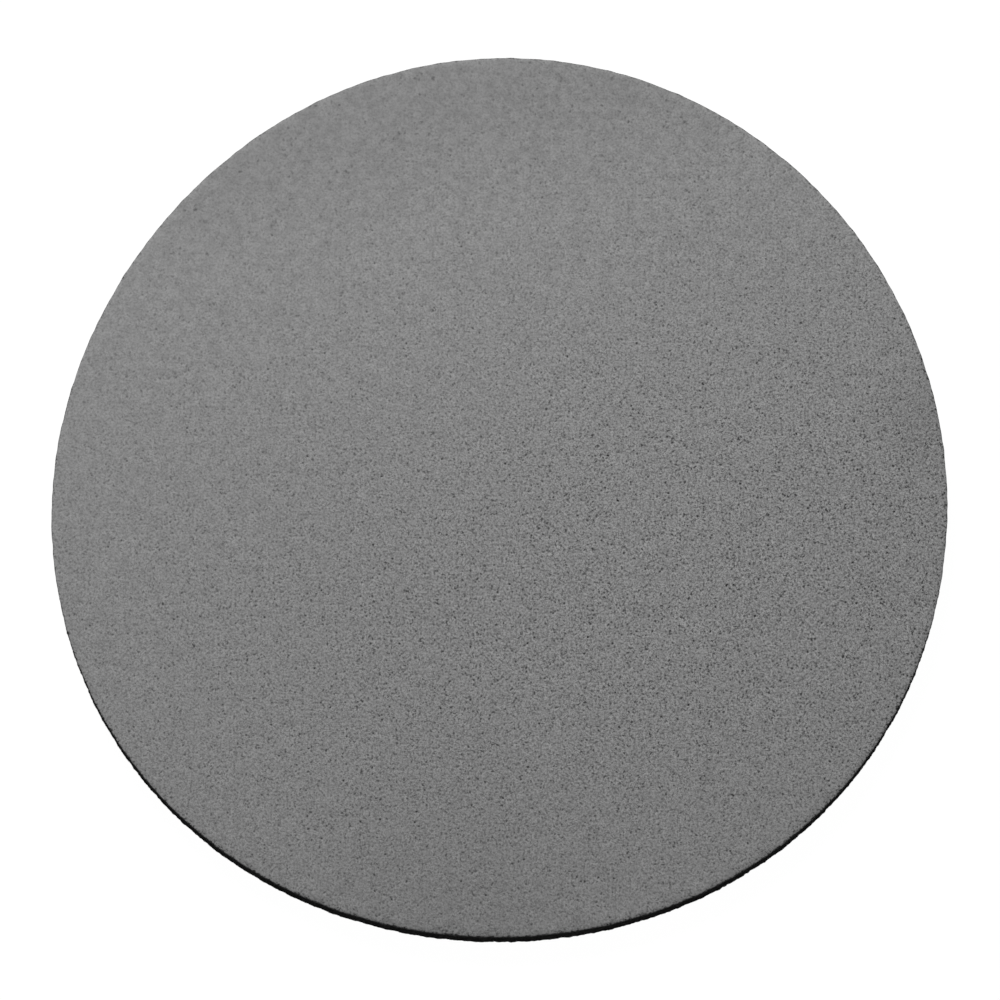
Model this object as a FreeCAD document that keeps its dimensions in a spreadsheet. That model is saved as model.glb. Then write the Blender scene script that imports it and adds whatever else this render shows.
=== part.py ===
# Abrasive foam disc, 150 mm, for a sander's backing pad.
# A grey coated face sheet, a thin foam pad and a loop-pile backing cloth, bonded in a stack and cut out as one round.
# Millimetres. The disc lies on its loops: origin at the centre of its underside, +Z out of the abrasive face.
import FreeCAD, Part
import Sketcher
import math
import os

PARTS_FOLDER = "parts"
ORIGIN_POINT = (-1, 1)  # a sketch's own origin, as a constraint names it

# Driving dimensions: cell alias, value in mm, what it is.
SIZES = (
    ("disc_diameter", 150.0, "the die that cuts the whole stack"),
    ("face_thickness", 0.5, "coated abrasive sheet"),
    ("face_lip_radius", 0.35, "sheet's upper edge, rolled down by the die"),
    ("foam_thickness", 4.5, "foam between the two sheets"),
    ("foam_waist_depth", 0.2, "how far the cut side draws in at mid height"),
    ("ground_thickness", 0.4, "knitted cloth that carries the loops"),
    ("pile_height", 0.6, "loops, from the cloth down to their tips"),
    ("pile_setback", 0.3, "loops at the cut edge lean in from it"),
    ("pile_edge_radius", 0.4, "round of the pile's lower edge"),
)

doc = FreeCAD.newDocument("abrasive_foam_disc")


def size_sheet():
    """Puts every driving dimension in the spreadsheet, one row each."""
    sheet = doc.addObject("Spreadsheet::Sheet", "sizes")
    for row, (alias, value, meaning) in enumerate(SIZES, start=1):
        sheet.set(f"A{row}", alias)
        sheet.set(f"B{row}", str(value))
        sheet.set(f"C{row}", meaning)
        sheet.setAlias(f"B{row}", alias)
    doc.recompute()
    return sheet


def new_body(name, height_expression):
    """A body whose underside sits at the height that the expression gives."""
    body = doc.addObject("PartDesign::Body", name)
    body.Label = name
    body.setExpression("Placement.Base.z", height_expression)
    return body


def new_sketch(body, name, role):
    """A sketch on one of the body's own origin planes."""
    plane = next(f for f in body.Origin.OriginFeatures if f.Role == role)
    sketch = body.newObject("Sketcher::SketchObject", name)
    sketch.AttachmentSupport = [(plane, "")]
    sketch.MapMode = "FlatFace"
    return sketch


def draw_closed_profile(sketch, corners, arcs=(), smooth=()):
    """Lines from corner to corner and back to the first, which is the sketch's origin.

    The corner numbers in arcs start a side that is an arc through the point given with it,
    and at those in smooth the two sides run into each other without a corner. The last side
    stays on the sketch's own upright axis, which a constraint names as -2.
    """
    middles = dict(arcs)
    ends = []
    for side, start in enumerate(corners):
        finish = corners[(side + 1) % len(corners)]
        a = FreeCAD.Vector(*start, 0)
        b = FreeCAD.Vector(*finish, 0)
        if side in middles:
            edge = sketch.addGeometry(Part.Arc(a, FreeCAD.Vector(*middles[side], 0), b))
            runs_forward = sketch.getPoint(edge, 1).distanceToPoint(a) < 1e-6
            ends.append((edge, (1, 2) if runs_forward else (2, 1)))
        else:
            edge = sketch.addGeometry(Part.LineSegment(a, b))
            ends.append((edge, (1, 2)))
    for side, (edge, (_, last)) in enumerate(ends):
        corner = (side + 1) % len(ends)
        after, (first, _) = ends[corner]
        meeting = "Tangent" if corner in smooth else "Coincident"
        sketch.addConstraint(Sketcher.Constraint(meeting, edge, last, after, first))
    sketch.addConstraint(Sketcher.Constraint("Coincident", ends[0][0], 1, *ORIGIN_POINT))
    sketch.addConstraint(Sketcher.Constraint("PointOnObject", ends[-1][0], 1, -2))
    return ends


def bind(sketch, constraint, name, expression):
    """Adds a named dimension to a sketch and ties it to the sheet."""
    index = sketch.addConstraint(constraint)
    sketch.renameConstraint(index, name)
    sketch.setExpression(f"Constraints.{name}", expression)


def turn(body, sketch, name):
    """Revolves a half section into the round piece."""
    feature = body.newObject("PartDesign::Revolution", name)
    feature.Profile = sketch
    feature.ReferenceAxis = (sketch, ["V_Axis"])
    feature.Angle = 360.0
    sketch.Visibility = False
    return feature


def make_loop_backing(sheet):
    """Backing cloth: knitted ground of the full diameter over a pile with a rounded lower edge."""
    body = new_body("loop_backing", "0 mm")
    sketch = new_sketch(body, "backing_section", "XZ_Plane")
    rim = sheet.disc_diameter / 2
    pile_rim = rim - sheet.pile_setback
    pile_top = sheet.pile_height
    cloth_top = sheet.pile_height + sheet.ground_thickness
    round_off = sheet.pile_edge_radius
    bow = round_off * (1 - math.sqrt(0.5))
    corners = (
        (0, 0),
        (pile_rim - round_off, 0),
        (pile_rim, round_off),
        (pile_rim, pile_top),
        (rim, pile_top),
        (rim, cloth_top),
        (0, cloth_top),
    )
    sides = draw_closed_profile(sketch, corners, [(1, (pile_rim - bow, bow))], smooth=(1, 2))
    foot, lower_round, pile_side, ledge, cloth_side, top, _ = [edge for edge, _ in sides]
    for level in (foot, ledge, top):
        sketch.addConstraint(Sketcher.Constraint("Horizontal", level))
    for upright in (pile_side, cloth_side):
        sketch.addConstraint(Sketcher.Constraint("Vertical", upright))
    bind(sketch, Sketcher.Constraint("Radius", lower_round, round_off), "round", "sizes.pile_edge_radius")
    bind(sketch, Sketcher.Constraint("DistanceX", *ORIGIN_POINT, cloth_side, 1, rim), "rim", "sizes.disc_diameter / 2")
    bind(sketch, Sketcher.Constraint("DistanceX", ledge, 1, ledge, 2, rim - pile_rim), "setback", "sizes.pile_setback")
    bind(sketch, Sketcher.Constraint("DistanceY", *ORIGIN_POINT, ledge, 1, pile_top), "pile", "sizes.pile_height")
    bind(
        sketch,
        Sketcher.Constraint("DistanceY", cloth_side, 1, cloth_side, 2, cloth_top - pile_top),
        "cloth",
        "sizes.ground_thickness",
    )
    turn(body, sketch, "backing_round")
    return body


def make_foam_pad(sheet):
    """Foam pad: flat above and below where the sheets are bonded, with a slightly drawn-in cut side."""
    body = new_body("foam_pad", "sizes.pile_height + sizes.ground_thickness")
    sketch = new_sketch(body, "foam_section", "XZ_Plane")
    rim = sheet.disc_diameter / 2
    top = sheet.foam_thickness
    waist = sheet.foam_waist_depth
    corners = ((0, 0), (rim, 0), (rim, top), (0, top))
    sides = draw_closed_profile(sketch, corners, [(1, (rim - waist, top / 2))])
    bottom, cut_side, roof, _ = [edge for edge, _ in sides]
    cut_start, cut_end = sides[1][1]
    for level in (bottom, roof):
        sketch.addConstraint(Sketcher.Constraint("Horizontal", level))
    sketch.addConstraint(Sketcher.Constraint("Vertical", cut_side, cut_start, cut_side, cut_end))
    bind(sketch, Sketcher.Constraint("DistanceX", *ORIGIN_POINT, roof, 1, rim), "rim", "sizes.disc_diameter / 2")
    bind(sketch, Sketcher.Constraint("DistanceY", *ORIGIN_POINT, roof, 1, top), "height", "sizes.foam_thickness")
    bind(
        sketch,
        Sketcher.Constraint("Radius", cut_side, (top * top / 4 + waist * waist) / (2 * waist)),
        "hollow",
        "(sizes.foam_thickness ^ 2 / 4 + sizes.foam_waist_depth ^ 2) / (2 * sizes.foam_waist_depth)",
    )
    turn(body, sketch, "foam_round")
    return body


def make_abrasive_face(sheet):
    """Face sheet: a round of coated sheet with its upper edge rolled down all the way round."""
    body = new_body("abrasive_face", "sizes.pile_height + sizes.ground_thickness + sizes.foam_thickness")
    sketch = new_sketch(body, "face_outline", "XY_Plane")
    rim = sheet.disc_diameter / 2
    circle = sketch.addGeometry(Part.Circle(FreeCAD.Vector(0, 0, 0), FreeCAD.Vector(0, 0, 1), rim))
    sketch.addConstraint(Sketcher.Constraint("Coincident", circle, 3, *ORIGIN_POINT))
    bind(sketch, Sketcher.Constraint("Diameter", circle, 2 * rim), "outline", "sizes.disc_diameter")
    blank = body.newObject("PartDesign::Pad", "face_blank")
    blank.Profile = sketch
    blank.setExpression("Length", "sizes.face_thickness")
    sketch.Visibility = False
    doc.recompute()
    upper = max(
        range(len(blank.Shape.Edges)),
        key=lambda i: (len(blank.Shape.Edges[i].Vertexes) == 1, blank.Shape.Edges[i].CenterOfMass.z),
    )
    lip = body.newObject("PartDesign::Fillet", "face_lip")
    lip.Base = (blank, [f"Edge{upper + 1}"])
    lip.setExpression("Radius", "sizes.face_lip_radius")
    return body


def check_document(bodies):
    """Stops before anything is written if a feature failed or a piece isn't one sound solid."""
    for item in doc.Objects:
        if "Invalid" in item.State or "Error" in item.State:
            raise RuntimeError(f"{item.Label} failed: {item.State}")
    for body in bodies:
        if body.Shape.isNull() or not body.Shape.isValid() or len(body.Shape.Solids) != 1:
            raise RuntimeError(f"{body.Label} isn't one sound solid")


def write_steps(bodies):
    os.makedirs(PARTS_FOLDER, exist_ok=True)
    for body in bodies:
        box = body.Shape.optimalBoundingBox(False)
        body.Shape.exportStep(os.path.join(PARTS_FOLDER, f"{body.Label}.step"))
        print(f"{body.Label}: {box.XLength:.2f} x {box.YLength:.2f} x {box.ZLength:.2f} mm from z {box.ZMin:.2f}")


sizes = size_sheet()
pieces = [make_loop_backing(sizes), make_foam_pad(sizes), make_abrasive_face(sizes)]
doc.recompute()
check_document(pieces)
write_steps(pieces)
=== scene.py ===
# Abrasive foam disc: a pitted grey coat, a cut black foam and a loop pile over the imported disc.
# Floor, light and camera come last.
import bpy
import math
import numpy as np
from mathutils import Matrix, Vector
from mathutils.geometry import delaunay_2d_cdt


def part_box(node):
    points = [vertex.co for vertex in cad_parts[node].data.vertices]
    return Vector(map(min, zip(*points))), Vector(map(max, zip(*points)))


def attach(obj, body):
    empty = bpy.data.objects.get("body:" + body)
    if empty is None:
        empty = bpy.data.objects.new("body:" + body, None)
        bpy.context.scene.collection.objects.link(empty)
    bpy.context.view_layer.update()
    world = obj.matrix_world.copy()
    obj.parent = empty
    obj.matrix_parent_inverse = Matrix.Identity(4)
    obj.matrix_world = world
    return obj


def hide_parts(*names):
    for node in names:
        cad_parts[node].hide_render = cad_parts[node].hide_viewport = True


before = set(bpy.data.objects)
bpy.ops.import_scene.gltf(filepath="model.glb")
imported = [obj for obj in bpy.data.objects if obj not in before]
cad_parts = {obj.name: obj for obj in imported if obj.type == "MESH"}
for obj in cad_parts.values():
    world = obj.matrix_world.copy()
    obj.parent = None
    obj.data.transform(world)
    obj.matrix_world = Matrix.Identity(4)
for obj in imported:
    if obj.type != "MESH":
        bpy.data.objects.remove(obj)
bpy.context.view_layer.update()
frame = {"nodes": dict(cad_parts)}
print("frame loaded:", ", ".join(frame["nodes"]))

millimetre = 0.001
faceLow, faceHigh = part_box("abrasive_face")
foamLow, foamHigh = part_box("foam_pad")
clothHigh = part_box("loop_backing")[1]

# The cut line: the stack's true radius, the slight lobes that the cut left in it, and finer wavering.
cutLine = {
    "radius": (foamHigh.x - foamLow.x) / 2,
    "lobes": (  # how many, height, direction of the first in degrees
        (2, 0.46 * millimetre, 55),
        (3, 0.68 * millimetre, -34),
        (4, 0.07 * millimetre, 32),
        (5, 0.04 * millimetre, 27),
    ),
    "waver": 0.015 * millimetre,
    "waverCounts": (29, 43, 61, 83, 113, 149, 197),
    "waverDeep": 0.2 * millimetre,  # how far in from the cut line the wavering has died away
    "seed": 3,
}
waverTurns = np.random.default_rng(cutLine["seed"]).uniform(0, 2 * math.pi, len(cutLine["waverCounts"]))


# The radius at a share of the way out from the middle, 1 at the cut line.
def cutRadius(angles, reach=1.0):
    radius = np.full(len(angles), cutLine["radius"])
    for count, height, toward in cutLine["lobes"]:
        radius += height * np.cos(count * (angles - math.radians(toward)))
    waver = cutLine["waver"] * max(0.0, 1 - (1 - reach) * cutLine["radius"] / cutLine["waverDeep"])
    for count, turn in zip(cutLine["waverCounts"], waverTurns):
        radius += waver * np.cos(count * angles + turn)
    return radius * reach


# Node helpers for shader and geometry trees alike
def wire(tree, kind, inputs=(), **settings):
    node = tree.nodes.new(kind)
    for name, value in settings.items():
        setattr(node, name, value)
    for socket, value in dict(inputs).items():
        if isinstance(value, bpy.types.NodeSocket):
            tree.links.new(value, node.inputs[socket])
        else:
            node.inputs[socket].default_value = value
    return node


def maths(tree, operation, first, second=0.0, third=0.0):
    return wire(tree, "ShaderNodeMath", {0: first, 1: second, 2: third}, operation=operation).outputs[0]


def product(tree, first, *others):
    for factor in others:
        first = maths(tree, "MULTIPLY", first, factor)
    return first


def vectorMaths(tree, operation, first, second=(0, 0, 0)):
    result = "Value" if operation in ("LENGTH", "DISTANCE") else "Vector"
    return wire(tree, "ShaderNodeVectorMath", {0: first, 1: second}, operation=operation).outputs[result]


def stretched(tree, vector, factor):
    inputs = {0: vector, "Scale": factor}
    return wire(tree, "ShaderNodeVectorMath", inputs, operation="SCALE").outputs[0]


def splitPlace(tree, place):
    return wire(tree, "ShaderNodeSeparateXYZ", {0: place}).outputs


def joinPlace(tree, x=0.0, y=0.0, z=0.0):
    return wire(tree, "ShaderNodeCombineXYZ", {"X": x, "Y": y, "Z": z}).outputs[0]


def remap(tree, value, fromLow, fromHigh, toLow=0.0, toHigh=1.0, smooth=True):
    inputs = {"Value": value, "From Min": fromLow, "From Max": fromHigh, "To Min": toLow, "To Max": toHigh}
    course = "SMOOTHSTEP" if smooth else "LINEAR"
    return wire(tree, "ShaderNodeMapRange", inputs, interpolation_type=course).outputs["Result"]


def mix(tree, share, first, second):
    return wire(tree, "ShaderNodeMix", {0: share, 2: first, 3: second}).outputs[0]


# A texture's scale from the size of its marks, which is a number or one of the tree's inputs.
def scaleFor(tree, size):
    return maths(tree, "DIVIDE", 1.0, size) if isinstance(size, bpy.types.NodeSocket) else 1 / size


noiseSpan = (0.3, 0.7)  # most of a noise lies between these


def noise(tree, place, size, detail=2.0, roughness=0.5, output="Fac"):
    inputs = {"Vector": place, "Scale": scaleFor(tree, size), "Detail": detail, "Roughness": roughness}
    return wire(tree, "ShaderNodeTexNoise", inputs).outputs[output]


def cells(tree, place, size, feature="F1"):
    inputs = {"Vector": place, "Scale": scaleFor(tree, size)}
    return wire(tree, "ShaderNodeTexVoronoi", inputs, feature=feature).outputs


# How far a place lies from the disc's axis, and which way is outwards there.
def fromAxis(tree, place):
    flat = vectorMaths(tree, "MULTIPLY", place, (1, 1, 0))
    return vectorMaths(tree, "LENGTH", flat), vectorMaths(tree, "NORMALIZE", flat)


# Geometry trees, one input for each named size
def newTree(name, sizes):
    tree = bpy.data.node_groups.new(name, "GeometryNodeTree")
    tree.interface.new_socket("Geometry", in_out="INPUT", socket_type="NodeSocketGeometry")
    for label, value in sizes.items():
        kind = "NodeSocketInt" if isinstance(value, int) else "NodeSocketFloat"
        tree.interface.new_socket(label, in_out="INPUT", socket_type=kind)
    tree.interface.new_socket("Geometry", in_out="OUTPUT", socket_type="NodeSocketGeometry")
    return tree, tree.nodes.new("NodeGroupInput").outputs


def closeTree(tree, geometry, material):
    smooth = wire(tree, "GeometryNodeSetShadeSmooth", {"Geometry": geometry}).outputs[0]
    real = wire(tree, "GeometryNodeRealizeInstances", {"Geometry": smooth}).outputs[0]
    dressed = wire(tree, "GeometryNodeSetMaterial", {"Geometry": real, "Material": material}).outputs[0]
    wire(tree, "NodeGroupOutput", {0: dressed})


def storeFloat(tree, geometry, name, value):
    inputs = {"Geometry": geometry, "Name": name, "Value": value}
    kind = "GeometryNodeStoreNamedAttribute"
    return wire(tree, kind, inputs, data_type="FLOAT", domain="POINT").outputs[0]


def shift(tree, geometry, offset):
    return wire(tree, "GeometryNodeSetPosition", {"Geometry": geometry, "Offset": offset}).outputs[0]


def scatter(tree, given, share=1.0):
    inputs = {
        "Mesh": given["Geometry"],
        "Distance Min": given["Gap"],
        "Density Max": given["Density"],
        "Density Factor": share,
        "Seed": given["Seed"],
    }
    kind = "GeometryNodeDistributePointsOnFaces"
    return wire(tree, kind, inputs, distribute_method="POISSON").outputs["Points"]


def placeOn(tree, points, piece, turn, scale):
    inputs = {"Points": points, "Instance": piece, "Rotation": turn, "Scale": scale}
    return wire(tree, "GeometryNodeInstanceOnPoints", inputs).outputs[0]


# A random number for each point: number tells one draw of a tree from the next.
def draw(tree, given, number, low, high):
    inputs = {2: low, 3: high, "Seed": maths(tree, "ADD", given["Seed"], number)}
    return wire(tree, "FunctionNodeRandomValue", inputs, data_type="FLOAT").outputs[1]


def runTree(blank, tree, sizes, name):
    modifier = blank.modifiers.new(tree.name, "NODES")
    modifier.node_group = tree
    for item in tree.interface.items_tree:
        if item.in_out == "INPUT" and item.name in sizes:
            modifier[item.identifier] = sizes[item.name]
    graph = bpy.context.evaluated_depsgraph_get()
    mesh = bpy.data.meshes.new_from_object(blank.evaluated_get(graph), depsgraph=graph)
    mesh.name = name
    bpy.data.objects.remove(blank)
    piece = bpy.data.objects.new(name, mesh)
    bpy.context.scene.collection.objects.link(piece)
    triangles = sum(len(polygon.vertices) - 2 for polygon in mesh.polygons)
    print(f"{name}: {len(mesh.vertices)} points, {triangles} triangles")
    return piece


# Round skins of triangles, built from rings: reach as a share of the cut line, height, points in the ring.
def zipRings(inner, outer):
    faces = []
    i = j = 0
    while i < len(inner) or j < len(outer):
        a = inner[i % len(inner)]
        b = outer[j % len(outer)]
        if i == len(inner) or (j < len(outer) and (j + 1) * len(inner) <= (i + 1) * len(outer)):
            j += 1
            if len(outer) > 1:
                faces.append((a, b, outer[j % len(outer)]))
        else:
            i += 1
            if len(inner) > 1:
                faces.append((a, b, inner[i % len(inner)]))
    return faces


def ringPoints(reach, height, count, turn=0.0):
    angles = (np.arange(count) + turn) * 2 * math.pi / count
    radius = cutRadius(angles, reach)
    points = [radius * np.cos(angles), radius * np.sin(angles), np.full(count, height)]
    return np.stack(points, axis=1).tolist()


# Every second ring is turned by half a step, so that the triangles are even.
def ringSkin(rings, points=(), faces=()):
    points = list(points)
    faces = list(faces)
    before = None
    for number, (reach, height, count) in enumerate(rings):
        here = range(len(points), len(points) + count)
        points.extend(ringPoints(reach, height, count, 0.5 * (number % 2)))
        if before is not None:
            faces.extend(zipRings(before, here))
        before = here
    return points, faces


def newBlank(name, points, faces):
    mesh = bpy.data.meshes.new(name)
    mesh.from_pydata(points, [], faces)
    blank = bpy.data.objects.new(name, mesh)
    bpy.context.scene.collection.objects.link(blank)
    return blank


# A plain disc to scatter points on.
def newDisc(name, height, margin):
    reach = 1 - margin / cutLine["radius"]
    return newBlank(name, *ringSkin([(0.0, height, 1), (0.5, height, 60), (reach, height, 360)]))


# Even triangles from the middle to the edge.
def flatRings(height, step, edge):
    rings = [(0.0, height, 1)]
    reach = step
    while reach < edge - 0.5 * step:
        rings.append((reach / cutLine["radius"], height, max(6, round(2 * math.pi * reach / step))))
        reach += step * math.sqrt(0.75)
    return rings


# Quickly coarser rings from the cut line to the middle, for a flat side that is bonded to the next piece.
def closingRings(height, count):
    fewest = 24
    thinning = 3
    stepIn = 0.93
    rings = []
    edge = 1.0
    while count > fewest:
        count //= thinning
        edge *= stepIn
        rings.append((edge, height, count))
    rings.append((0.0, height, 1))
    return rings


# Materials
def clearedTree(owner):
    owner.use_nodes = True
    owner.node_tree.nodes.clear()
    return owner.node_tree


def newMaterial(name):
    material = bpy.data.materials.new(name)
    tree = clearedTree(material)
    shader = wire(tree, "ShaderNodeBsdfPrincipled")
    wire(tree, "ShaderNodeOutputMaterial", {"Surface": shader.outputs[0]})
    place = wire(tree, "ShaderNodeTexCoord").outputs["Object"]
    return material, tree, shader, place


def attribute(tree, name):
    return wire(tree, "ShaderNodeAttribute", attribute_name=name).outputs["Fac"]


def paint(tree, shader, grey, roughness, gloss):
    colour = wire(tree, "ShaderNodeCombineColor", {"Red": grey, "Green": grey, "Blue": grey}).outputs[0]
    tree.links.new(colour, shader.inputs["Base Color"])
    shader.inputs["Roughness"].default_value = roughness
    shader.inputs["Specular IOR Level"].default_value = gloss


def addBump(tree, shader, height, strength, distance):
    inputs = {"Strength": strength, "Distance": distance, "Height": height}
    tree.links.new(wire(tree, "ShaderNodeBump", inputs).outputs[0], shader.inputs["Normal"])


# Abrasive face
face = {
    "rimStep": 0.47 * millimetre,
    "lip": 0.6 * millimetre,  # how wide the upper edge is that the cut rolled down
    "lipDrop": 0.4 * millimetre,
    "lipRings": 4,
    "lipFrom": 0.2 * millimetre,  # from the cut line to the outermost ring of the pitted top
    "swell": 0.05 * millimetre,
    "swellSize": 18 * millimetre,
    # Pits
    "pitGap": 0.62 * millimetre,
    "pitDensity": 3.2e6,  # per square metre, before the gap thins them out
    "pitRadius": 0.24 * millimetre,
    "pitSides": 5,
    "pitWidths": (0.8, 1.15),  # of the shallowest and of the deepest, against the radius
    "pitStretch": (0.78, 1.2),
    "pitDepth": 0.22 * millimetre,
    "pitLeast": 0.18,  # few pits are deep: the least depth, and how long the tail above it is
    "pitTail": 0.27,
    "pitPower": 1.5,
    "margin": 0.56 * millimetre,  # from the cut line to the middles of the outermost pits
    "patchSize": 2.6 * millimetre,  # patches with fewer and with more pits
    "patchLevels": (0.35, 0.62),
    "patchShares": (0.4, 0.95),
    "seed": 5,
    # The band across the disc where the pits are crispest, in radii: there they are deepest and their
    # painted shade darkest
    "bandShift": 0.30,
    "bandTilt": 0.20,
    "bandWide": 1.45,
    "sideGain": 0.16,  # how much crisper the pits are, and darker their painted shade, at the right edge than in the middle
    "sideWide": 3.2,  # and how slowly they fade towards both sides
    "crispest": 1.06,
    # Greys
    "coat": 0.2255,
    # painted shade: the near-black grey of the deepest pits and dots, as shade in their hollows
    "pitShadeColour": 0.041,
    "cutSideAndShadeColour": 0.007,
    "cutFrom": 0.11 * millimetre,  # depths below the top between which the coat gives way to the dark cut side; on the rolled lip this dark is also painted shade
    "cutTo": 0.29 * millimetre,
    "cutRagged": 0.14 * millimetre,  # how ragged its edge is
    "farTone": 0.885,  # painted shade: the coat is painted slightly darker along the far edge
    "farEdge": (0.60, 0.95),  # from here to there, in radii
    "farLean": 0.20,  # and more so towards its left
    "shadedPatches": (  # patches of painted shade, slightly darker: middle and reach in millimetres, tone in the middle
        (-8, -70, 38, 0.925),
        (71, 14, 12, 0.90),
        (92, -4, 40, 0.955),
        (-20, -14, 48, 0.975),
    ),
    # Painted shade in the pits, and in dots too small to model
    "pitShade": 0.87,
    "pitShadePower": 0.60,
    "pitFade": 1.5,  # how fast the painted shade weakens where the pits fade
    "dotGap": 0.64 * millimetre,
    "dotReach": (0.40, 0.11),  # where a dot starts and where it is full, in gaps from its middle
    "dotShade": 0.97,
    "dotPower": 0.9,
    "driftSize": 0.8 * millimetre,  # pushes dots and clouds out of round
    "driftReach": 0.9 * millimetre,
    "patchCrisp": (0.93, 1.055),
    # Grit between the pits: a web of light and dark, and finer grain
    "webSize": 0.40 * millimetre,
    "webLevels": (0.30, 0.62),
    "webTones": (-1.0, 0.72),
    "webShare": 0.305,
    "webLeast": 0.02,
    "grainSize": 0.17 * millimetre,
    "grainLevels": (0.25, 0.75),
    "grainShare": 0.29,
    "grainFade": 3.0,
    # Clouds and mottling, stronger where the pits fade; the clouds are soft blots of painted shade
    # standing for the faded pits
    "dullLevels": (0.95, 0.35),
    "dullGain": 1.18,
    "dullLean": 0.28,  # and more so towards the right
    "cloudSize": 0.95 * millimetre,
    "cloudReach": 0.42,
    "cloudShade": 0.62,
    "cloudPower": 2.0,
    "cloudMean": 1.03,
    "mottleSize": 1.3 * millimetre,
    "mottleShare": 0.047,
    "mottleDull": 0.058,
    # Finish
    "roughness": 0.8,
    "gloss": 0.15,
    "relief": (0.5, 0.04 * millimetre),  # strength and height of what is too fine to model
    "reliefGrit": 2.0,  # how high the grit stands in it against the pits
}


# Points of the pits seen from above, and how deep each is: 0 around a pit, up to 1 in its middle.
def scatterPits():
    sizes = {
        "Gap": face["pitGap"],
        "Density": face["pitDensity"],
        "Pit radius": face["pitRadius"],
        "Patch size": face["patchSize"],
        "Seed": face["seed"],
    }
    tree, given = newTree("pitScatter", sizes)
    place = wire(tree, "GeometryNodeInputPosition").outputs[0]
    patch = noise(tree, place, given["Patch size"])
    points = scatter(tree, given, remap(tree, patch, *face["patchLevels"], *face["patchShares"]))
    chance = draw(tree, given, 1, 0.0001, 1.0)
    tail = product(tree, maths(tree, "LOGARITHM", chance, math.e), -face["pitTail"])
    deep = maths(tree, "MINIMUM", maths(tree, "ADD", tail, face["pitLeast"]), 1.0)
    deep = maths(tree, "POWER", deep, face["pitPower"])
    points = storeFloat(tree, points, "deep", deep)

    inputs = {"Vertices": face["pitSides"], "Radius": given["Pit radius"]}
    pit = wire(tree, "GeometryNodeMeshCircle", inputs, fill_type="TRIANGLE_FAN").outputs["Mesh"]
    inside = product(tree, given["Pit radius"], 0.5)
    middle = maths(tree, "LESS_THAN", vectorMaths(tree, "LENGTH", place), inside)
    pit = storeFloat(tree, pit, "middle", middle)
    size = remap(tree, deep, 0.0, 1.0, *face["pitWidths"], smooth=False)
    stretch = draw(tree, given, 2, *face["pitStretch"])
    scale = joinPlace(tree, product(tree, size, stretch), maths(tree, "DIVIDE", size, stretch), 1.0)
    turn = joinPlace(tree, z=draw(tree, given, 3, 0.0, 2 * math.pi))
    closeTree(tree, placeOn(tree, points, pit, turn, scale), None)

    scattered = runTree(newDisc("scatterBlank", 0.0, face["margin"]), tree, sizes, "scattered_pits")
    mesh = scattered.data
    places = np.empty(3 * len(mesh.vertices))
    deeps = np.empty(len(mesh.vertices))
    middles = np.empty(len(mesh.vertices))
    mesh.vertices.foreach_get("co", places)
    mesh.attributes["deep"].data.foreach_get("value", deeps)
    mesh.attributes["middle"].data.foreach_get("value", middles)
    bpy.data.objects.remove(scattered)
    bpy.data.meshes.remove(mesh)
    return places.reshape(-1, 3)[:, :2], deeps * middles


def lipHeight(inset):
    over = np.clip(1 - inset / face["lip"], 0, 1)
    return faceHigh.z - face["lipDrop"] * (1 - np.sqrt(1 - over**2))


# One sheet: triangles between all the pits' points on top, then lip, side and underside.
def faceBlank():
    radius = cutLine["radius"]
    rim = round(2 * math.pi * radius / face["rimStep"])
    topEdge = 1 - face["lipFrom"] / radius
    sameSpot = 1e-6  # millimetres
    flat, pits = scatterPits()
    edge = np.array(ringPoints(topEdge, 0.0, rim))[:, :2]
    plan = np.concatenate([flat, edge])
    found, _, triangles, *_ = delaunay_2d_cdt((plan / millimetre).tolist(), [], [], 0, sameSpot, False)
    if len(found) != len(plan) or len(triangles) != 2 * len(plan) - 2 - rim:
        raise RuntimeError("the pits' points run together or pass the rim")
    angles = np.arctan2(plan[:, 1], plan[:, 0])
    heights = lipHeight(cutRadius(angles, topEdge) + face["lipFrom"] - np.hypot(*plan.T))
    rings = []
    for k in range(1, face["lipRings"] + 1):
        inset = face["lipFrom"] * (1 - math.sin(math.pi / 2 * k / face["lipRings"]))
        rings.append((1 - inset / radius, float(lipHeight(inset)), rim))
    rings.append((1.0, faceLow.z, rim))
    rings += closingRings(faceLow.z, rim)
    upper = np.column_stack([plan, heights]).tolist()
    points, faces = ringSkin(rings, upper, triangles)
    first = len(upper)
    faces += zipRings(range(first - rim, first), range(first, first + rim))
    blank = newBlank("faceBlank", points, faces)
    marks = np.zeros(len(points), dtype=np.float32)
    marks[: len(pits)] = pits
    blank.data.attributes.new("pit", "FLOAT", "POINT").data.foreach_set("value", marks)
    return blank


# A place pushed about a little, so that the dots and clouds there aren't round.
def driftedPlace(tree, place):
    drift = noise(tree, place, face["driftSize"], detail=1.0, output="Color")
    drift = vectorMaths(tree, "SUBTRACT", drift, (0.5, 0.5, 0.5))
    return vectorMaths(tree, "ADD", place, stretched(tree, drift, face["driftReach"]))


# How clear the coat is of the painted shade in pits and dots: 1 between them, 0 in the deepest.
def unshadedShare(tree, drifted, crisp):
    pit = maths(tree, "POWER", attribute(tree, "pit"), face["pitShadePower"])
    pit = product(tree, pit, face["pitShade"], maths(tree, "POWER", crisp, face["pitFade"]))
    dot = cells(tree, drifted, face["dotGap"])
    size = wire(tree, "ShaderNodeSeparateColor", {0: dot["Color"]}).outputs["Red"]
    deep = product(tree, maths(tree, "POWER", size, face["dotPower"]), face["dotShade"])
    dots = remap(tree, dot["Distance"], *face["dotReach"])
    dots = product(tree, dots, deep, product(tree, crisp, crisp))
    return product(tree, maths(tree, "SUBTRACT", 1.0, pit), maths(tree, "SUBTRACT", 1.0, dots))


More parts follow.
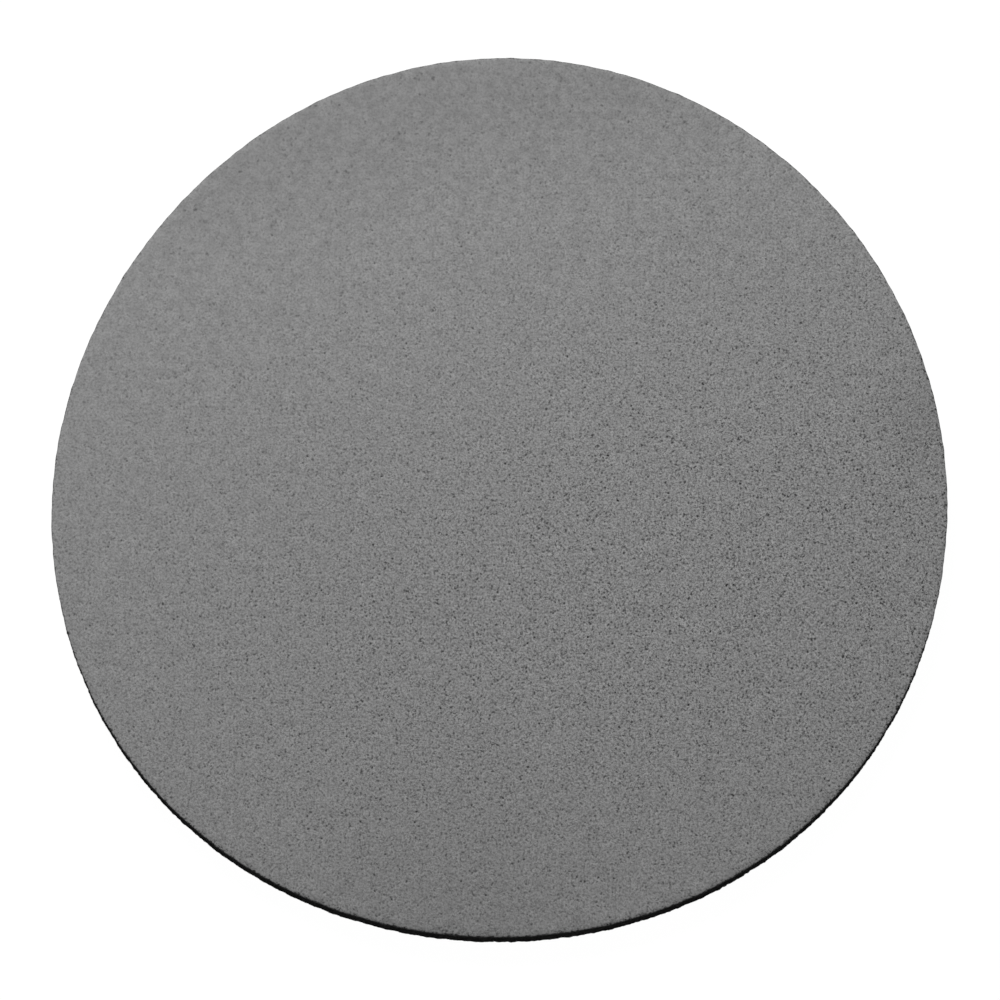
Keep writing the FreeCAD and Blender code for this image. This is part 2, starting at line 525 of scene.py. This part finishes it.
# The web alone, and the tone around 1 that it and the finer grain give.
def gritRipple(tree, place, crisp):
    web = noise(tree, place, face["webSize"], roughness=0.6)
    web = remap(tree, web, *face["webLevels"], *face["webTones"])
    fade = maths(tree, "POWER", crisp, face["pitFade"])
    share = maths(tree, "MULTIPLY_ADD", fade, face["webShare"], face["webLeast"])
    grain = noise(tree, place, face["grainSize"], detail=1.0)
    grain = remap(tree, grain, *face["grainLevels"], -1.0, 1.0)
    grain = product(tree, grain, maths(tree, "POWER", crisp, face["grainFade"]), face["grainShare"])
    ripple = maths(tree, "ADD", maths(tree, "ADD", product(tree, web, share), grain), 1.0)
    return web, ripple


# Two tones around 1: soft dark clouds of painted shade, and an even mottling.
def cloudTones(tree, place, drifted, dull):
    cloud = cells(tree, drifted, face["cloudSize"])
    size = wire(tree, "ShaderNodeSeparateColor", {0: cloud["Color"]}).outputs["Green"]
    deep = product(tree, maths(tree, "POWER", size, face["cloudPower"]), dull, -face["cloudShade"])
    near = remap(tree, cloud["Distance"], face["cloudReach"], 0.0)
    mottle = noise(tree, place, face["mottleSize"], detail=3.0, roughness=0.6)
    mottle = remap(tree, mottle, *noiseSpan, -1.0, 1.0)
    share = maths(tree, "MULTIPLY_ADD", dull, face["mottleDull"], face["mottleShare"])
    return (
        maths(tree, "MULTIPLY_ADD", near, deep, face["cloudMean"]),
        maths(tree, "MULTIPLY_ADD", mottle, share, 1.0),
    )


# Painted shade: slightly darker along the far edge and in a few patches.
def paintedShadeTone(tree, place, parts):
    far = maths(tree, "MULTIPLY_ADD", parts["X"], -face["farLean"], parts["Y"])
    far = maths(tree, "DIVIDE", far, cutLine["radius"])
    tone = remap(tree, far, *face["farEdge"], 1.0, face["farTone"])
    for x, y, reach, darkest in face["shadedPatches"]:
        away = vectorMaths(tree, "DISTANCE", place, (x * millimetre, y * millimetre, faceHigh.z))
        tone = product(tree, tone, remap(tree, away, 0.0, reach * millimetre, darkest, 1.0))
    return tone


def makeCoatMaterial():
    material, tree, shader, place = newMaterial("abrasiveCoat")
    parts = splitPlace(tree, place)
    crisp = attribute(tree, "crisp")
    dull = maths(tree, "SQRT", remap(tree, crisp, *face["dullLevels"], smooth=False))
    lean = maths(tree, "MULTIPLY_ADD", parts["X"], face["dullLean"] / cutLine["radius"], face["dullGain"])
    dull = product(tree, dull, lean)
    flat = vectorMaths(tree, "MULTIPLY", place, (1, 1, 0))
    patch = noise(tree, flat, face["patchSize"])  # the patches that the pits lie in
    crisp = product(tree, crisp, remap(tree, patch, *face["patchLevels"], *face["patchCrisp"]))
    drifted = driftedPlace(tree, place)
    web, ripple = gritRipple(tree, place, crisp)
    cloud, mottle = cloudTones(tree, place, drifted, dull)
    clear = unshadedShare(tree, drifted, crisp)
    coat = product(tree, mottle, ripple, face["coat"], cloud, paintedShadeTone(tree, place, parts))
    # painted shade: the pits and dots are mixed towards a near-black grey
    shade = mix(tree, clear, face["pitShadeColour"], coat)
    height = maths(tree, "ADD", parts["Z"], product(tree, web, crisp, face["cutRagged"]))
    # the coat gives way to near-black: the cut side's own colour, and painted shade on the rolled lip
    cut = remap(tree, height, faceHigh.z - face["cutFrom"], faceHigh.z - face["cutTo"])
    paint(tree, shader, mix(tree, cut, shade, face["cutSideAndShadeColour"]), face["roughness"], face["gloss"])
    addBump(tree, shader, maths(tree, "MULTIPLY_ADD", ripple, face["reliefGrit"], clear), *face["relief"])
    return material


# Presses the pits into the blank, as deep as they are crisp there, and lets the top swell a little.
def makeFace(material):
    sizes = {
        "Pit depth": face["pitDepth"],
        "Swell": face["swell"],
        "Swell size": face["swellSize"],
        "Top": faceHigh.z,
        "Lip drop": face["lipDrop"],
        "Reach": cutLine["radius"],
        "Band shift": face["bandShift"],
        "Band tilt": face["bandTilt"],
        "Band wide": face["bandWide"],
        "Side gain": face["sideGain"],
        "Side wide": face["sideWide"],
        "Crispest": face["crispest"],
    }
    tree, given = newTree("coatRelief", sizes)
    place = wire(tree, "GeometryNodeInputPosition").outputs[0]
    parts = splitPlace(tree, place)
    onTop = remap(tree, parts["Z"], maths(tree, "SUBTRACT", given["Top"], given["Lip drop"]), given["Top"])
    aside = maths(tree, "DIVIDE", parts["X"], given["Reach"])
    along = maths(tree, "DIVIDE", parts["Y"], given["Reach"])
    fromBand = maths(tree, "SUBTRACT", along, product(tree, aside, given["Band tilt"]))
    fromBand = maths(tree, "DIVIDE", maths(tree, "ADD", fromBand, given["Band shift"]), given["Band wide"])
    across = maths(tree, "DIVIDE", aside, given["Side wide"])
    spread = maths(tree, "MULTIPLY_ADD", fromBand, fromBand, product(tree, across, across))
    fade = maths(tree, "EXPONENT", product(tree, spread, -1.0))
    gain = maths(tree, "ADD", product(tree, aside, given["Side gain"]), 1.0)
    # the pits' depth and the darkness of their painted shade both follow this
    crisp = product(tree, fade, gain, given["Crispest"])
    inputs = {"Name": "pit"}
    pit = wire(tree, "GeometryNodeInputNamedAttribute", inputs, data_type="FLOAT").outputs["Attribute"]
    swell = noise(tree, place, given["Swell size"], detail=1.0)
    rise = product(tree, maths(tree, "SUBTRACT", swell, 0.5), given["Swell"])
    drop = product(tree, pit, crisp, given["Pit depth"])
    offset = product(tree, maths(tree, "SUBTRACT", rise, drop), onTop)
    moved = shift(tree, given["Geometry"], joinPlace(tree, z=offset))
    closeTree(tree, storeFloat(tree, moved, "crisp", crisp), material)
    return runTree(faceBlank(), tree, sizes, "pitted_face")


abrasiveFace = makeFace(makeCoatMaterial())


# Foam pad
foam = {
    "column": 0.165 * millimetre,  # how wide the small faces of the cut side are
    "rows": 27,  # and how many of them stand above one another
    "waist": 0.2 * millimetre,
    "cell": 0.5 * millimetre,
    "poreDepth": 0.22 * millimetre,
    "strut": 0.08,  # from the middle of a wall between two cells to where it falls away, in cells
    "strutFall": 3.0,  # and where it has fallen away wholly, in struts
    "wallFrom": 0.98,  # cells are open from here outwards, in radii
    "colour": 0.014,
    # painted shade: the pores are painted near black, as shade deep in the open cells
    "poreShadeColour": 0.0015,
    "wear": (0.7, 1.3),
    "wearSize": 1.5 * millimetre,
    "roughness": 0.9,
    "gloss": 0.02,
    "grainSize": 0.12 * millimetre,
    "relief": (0.5, 0.04 * millimetre),  # strength and height of the grain
}


def makeFoamMaterial():
    material, tree, shader, place = newMaterial("cutFoam")
    wear = remap(tree, noise(tree, place, foam["wearSize"], detail=3.0), *noiseSpan, *foam["wear"])
    strut = product(tree, wear, foam["colour"])
    # painted shade in the pores
    shade = mix(tree, attribute(tree, "pore"), strut, foam["poreShadeColour"])
    paint(tree, shader, shade, foam["roughness"], foam["gloss"])
    addBump(tree, shader, noise(tree, place, foam["grainSize"]), *foam["relief"])
    return material


def makeFoam(material):
    radius = cutLine["radius"]
    count = round(2 * math.pi * radius / foam["column"])
    tall = foamHigh.z - foamLow.z
    rings = closingRings(foamHigh.z, count)[::-1]
    for row in range(foam["rows"] + 1):
        down = row / foam["rows"]
        inset = foam["waist"] * (1 - (2 * down - 1) ** 2)
        rings.append((1 - inset / radius, foamHigh.z - tall * down, count))
    rings += closingRings(foamLow.z, count)

    sizes = {
        "Cell": foam["cell"],
        "Pore depth": foam["poreDepth"],
        "Strut": foam["strut"],
        "Wall from": foam["wallFrom"] * radius,
    }
    tree, given = newTree("openCells", sizes)
    place = wire(tree, "GeometryNodeInputPosition").outputs[0]
    reach, outward = fromAxis(tree, place)
    onWall = maths(tree, "GREATER_THAN", reach, given["Wall from"])
    strutDistance = cells(tree, place, given["Cell"], "DISTANCE_TO_EDGE")["Distance"]
    pore = remap(tree, strutDistance, given["Strut"], product(tree, given["Strut"], foam["strutFall"]))
    pore = product(tree, pore, onWall)
    depth = product(tree, pore, given["Pore depth"], -1.0)
    moved = shift(tree, given["Geometry"], stretched(tree, outward, depth))
    closeTree(tree, storeFloat(tree, moved, "pore", pore), material)
    return runTree(newBlank("foamBlank", *ringSkin(rings)), tree, sizes, "cut_foam")


foamPad = makeFoam(makeFoamMaterial())


# Loop backing: a knitted cloth, and the pile of loops on it
backing = {
    "cloth": 0.4 * millimetre,
    "step": 0.75 * millimetre,
    "wale": 1.3 * millimetre,
    "rib": 0.08 * millimetre,
    "ribSlack": 0.01 * millimetre,  # what lies this near the cloth's lower side counts as it
    "edgeStep": 0.28 * millimetre,
    "fray": 0.09 * millimetre,  # how far the cut yarns stand out of the cut line or in
    "fraySize": 0.45 * millimetre,
    "frayFrom": 0.982,  # from here outwards, in radii
    "yarn": 0.09 * millimetre,  # radius
    "yarnSides": 3,
    "loopHigh": 0.60 * millimetre,
    "loopWide": 0.75 * millimetre,
    "loopSteps": 4,
    "loopBulge": 0.75,  # how far the loop's handles stand to each side, in loop widths
    "loopReach": 1.33,  # and down, in loop heights: the loop hangs three quarters as deep as they do
    "loopGap": 1.18 * millimetre,
    "loopDensity": 4.0e6,  # per square metre, before the gap thins them out
    "loopTilt": (0.7, 0.2),  # most, in radians
    "loopSizes": (0.7, 1.05),
    "pileEdge": 0.42 * millimetre,  # from the cut line to the roots of the outermost loops
    "pileSeeds": (11, 12),
    "colour": 0.008,
    "fade": (0.75, 1.3),
    "fadeSize": 3.0 * millimetre,
    "roughness": 0.7,
    "gloss": 0.06,
    "fibre": 0.06 * millimetre,
    "relief": (0.4, 0.02 * millimetre),  # strength and height of the fibres
}


def makeYarnMaterial():
    material, tree, shader, place = newMaterial("loopYarn")
    fade = remap(tree, noise(tree, place, backing["fadeSize"], detail=3.0), *noiseSpan, *backing["fade"])
    paint(tree, shader, product(tree, fade, backing["colour"]), backing["roughness"], backing["gloss"])
    addBump(tree, shader, noise(tree, place, backing["fibre"], detail=1.0), *backing["relief"])
    return material


def makeCloth(material):
    radius = cutLine["radius"]
    ground = clothHigh.z - backing["cloth"]
    rim = round(2 * math.pi * radius / backing["edgeStep"])
    under = flatRings(ground, backing["step"], radius)[::-1]
    side = [(1.0, clothHigh.z + (ground - clothHigh.z) * k / 2, rim) for k in range(3)]
    rings = closingRings(clothHigh.z, rim)[::-1] + side + under

    sizes = {
        "Wale": backing["wale"],
        "Rib": backing["rib"],
        "Ground": ground,
        "Fray": backing["fray"],
        "Fray size": backing["fraySize"],
        "Edge from": backing["frayFrom"] * radius,
    }
    tree, given = newTree("knittedGround", sizes)
    place = wire(tree, "GeometryNodeInputPosition").outputs[0]
    parts = splitPlace(tree, place)
    below = maths(tree, "LESS_THAN", parts["Z"], maths(tree, "ADD", given["Ground"], backing["ribSlack"]))
    phase = product(tree, maths(tree, "DIVIDE", parts["X"], given["Wale"]), 2 * math.pi)
    lift = joinPlace(tree, z=product(tree, maths(tree, "SINE", phase), given["Rib"], below))
    reach, outward = fromAxis(tree, place)
    yarns = noise(tree, place, given["Fray size"])
    stand = product(tree, remap(tree, yarns, *noiseSpan, -1.0, 1.0, smooth=False), given["Fray"])
    stand = product(tree, stand, maths(tree, "GREATER_THAN", reach, given["Edge from"]))
    move = vectorMaths(tree, "ADD", lift, stretched(tree, outward, stand))
    closeTree(tree, shift(tree, given["Geometry"], move), material)
    return runTree(newBlank("clothBlank", *ringSkin(rings)), tree, sizes, "knitted_cloth")


def loopOfYarn(tree, given):
    half = product(tree, given["Loop width"], 0.5)
    wide = product(tree, given["Loop width"], backing["loopBulge"])
    deep = product(tree, given["Loop height"], -backing["loopReach"])
    inputs = {
        "Resolution": backing["loopSteps"],
        "Start": joinPlace(tree, product(tree, half, -1.0)),
        "Start Handle": joinPlace(tree, product(tree, wide, -1.0), z=deep),
        "End Handle": joinPlace(tree, wide, z=deep),
        "End": joinPlace(tree, half),
    }
    arch = wire(tree, "GeometryNodeCurvePrimitiveBezierSegment", inputs).outputs[0]
    inputs = {"Resolution": backing["yarnSides"], "Radius": given["Yarn"]}
    section = wire(tree, "GeometryNodeCurvePrimitiveCircle", inputs).outputs[0]
    inputs = {"Curve": arch, "Profile Curve": section, "Fill Caps": True}
    return wire(tree, "GeometryNodeCurveToMesh", inputs).outputs[0]


# One piece for each seed: all the loops in one piece would pass its limit of triangles.
def makePile(material):
    sizes = {
        "Yarn": backing["yarn"],
        "Loop height": backing["loopHigh"],
        "Loop width": backing["loopWide"],
        "Gap": backing["loopGap"],
        "Density": backing["loopDensity"],
        "Seed": 0,
    }
    tree, given = newTree("loopPile", sizes)
    tiltOver, tiltAlong = backing["loopTilt"]
    inputs = {
        "Min": (-tiltOver, -tiltAlong, 0.0),
        "Max": (tiltOver, tiltAlong, 2 * math.pi),
        "Seed": given["Seed"],
    }
    turn = wire(tree, "FunctionNodeRandomValue", inputs, data_type="FLOAT_VECTOR").outputs[0]
    size = draw(tree, given, 1, *backing["loopSizes"])
    closeTree(tree, placeOn(tree, scatter(tree, given), loopOfYarn(tree, given), turn, size), material)

    root = clothHigh.z - backing["cloth"] + backing["yarn"]
    pieces = []
    for number, seed in enumerate(backing["pileSeeds"], start=1):
        blank = newDisc("pileBlank", root, backing["pileEdge"])
        pieces.append(runTree(blank, tree, {**sizes, "Seed": seed}, f"loop_pile_{number}"))
    return pieces


yarnMaterial = makeYarnMaterial()
cloth = makeCloth(yarnMaterial)
pile = makePile(yarnMaterial)


# What each piece stands for
for piece in (abrasiveFace, foamPad, cloth, *pile):
    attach(piece, "root")
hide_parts("abrasive_face")
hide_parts("foam_pad")
for piece in (cloth, *pile):
    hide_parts("loop_backing")
print("pieces placed")


# Floor, light and camera, in metres, watts and degrees
studio = {
    "floorHalf": 3.0,
    "floorBelow": 0.02 * millimetre,
    "floorColour": 0.8,
    "floorGlow": 1.04,
    "floorShare": 0.05,  # how much of the floor's own light and shadow the camera sees
    "keyPlace": (-0.102, 0.297, 0.41),
    "keySize": 0.24,
    "keyPower": 2.36,
    "fill": 0.25,
    "cameraAway": 1.5,
    "cameraElevation": 78,
    "lens": 323.3,
    "aim": (-0.00012, -0.00055, 0.006),
}


def seenRays(tree):
    path = wire(tree, "ShaderNodeLightPath").outputs
    seen = maths(tree, "MAXIMUM", path["Is Camera Ray"], path["Is Glossy Ray"])
    return maths(tree, "MAXIMUM", seen, path["Is Transmission Ray"])


def makeFloor():
    side = studio["floorHalf"]
    corners = [(-side, -side, 0), (side, -side, 0), (side, side, 0), (-side, side, 0)]
    floor = newBlank("floor", corners, [(0, 1, 2, 3)])
    floor.location.z = -studio["floorBelow"]
    material = bpy.data.materials.new("paleFloor")
    tree = clearedTree(material)
    pale = studio["floorColour"]
    matt = wire(tree, "ShaderNodeBsdfDiffuse", {"Color": (pale, pale, pale, 1)}).outputs[0]
    inputs = {"Color": (1, 1, 1, 1), "Strength": studio["floorGlow"]}
    glow = wire(tree, "ShaderNodeEmission", inputs).outputs[0]
    bright = wire(tree, "ShaderNodeMixShader", {0: studio["floorShare"], 1: glow, 2: matt}).outputs[0]
    surface = wire(tree, "ShaderNodeMixShader", {0: seenRays(tree), 1: matt, 2: bright}).outputs[0]
    wire(tree, "ShaderNodeOutputMaterial", {"Surface": surface})
    floor.data.materials.append(material)


def makeWorld():
    world = bpy.data.worlds.new("studio")
    bpy.context.scene.world = world
    tree = clearedTree(world)
    strength = mix(tree, seenRays(tree), studio["fill"], 1.0)
    sky = wire(tree, "ShaderNodeBackground", {"Color": (1, 1, 1, 1), "Strength": strength}).outputs[0]
    wire(tree, "ShaderNodeOutputWorld", {"Surface": sky})


def makeKey():
    light = bpy.data.lights.new("key", "AREA")
    light.size = studio["keySize"]
    light.energy = studio["keyPower"]
    lamp = bpy.data.objects.new("key", light)
    lamp.location = studio["keyPlace"]
    lamp.rotation_euler = (-lamp.location).to_track_quat("-Z", "Y").to_euler()
    bpy.context.scene.collection.objects.link(lamp)


def makeCamera():
    lens = bpy.data.cameras.new("camera")
    lens.lens = studio["lens"]
    camera = bpy.data.objects.new("camera", lens)
    rise = math.radians(studio["cameraElevation"])
    back = Vector((0, -math.cos(rise), math.sin(rise)))
    camera.location = Vector(studio["aim"]) + back * studio["cameraAway"]
    camera.rotation_euler = (-back).to_track_quat("-Z", "Y").to_euler()
    bpy.context.scene.collection.objects.link(camera)
    bpy.context.scene.camera = camera


makeFloor()
makeWorld()
makeKey()
makeCamera()
bpy.context.scene.view_settings.view_transform = "Standard"
print("studio ready")
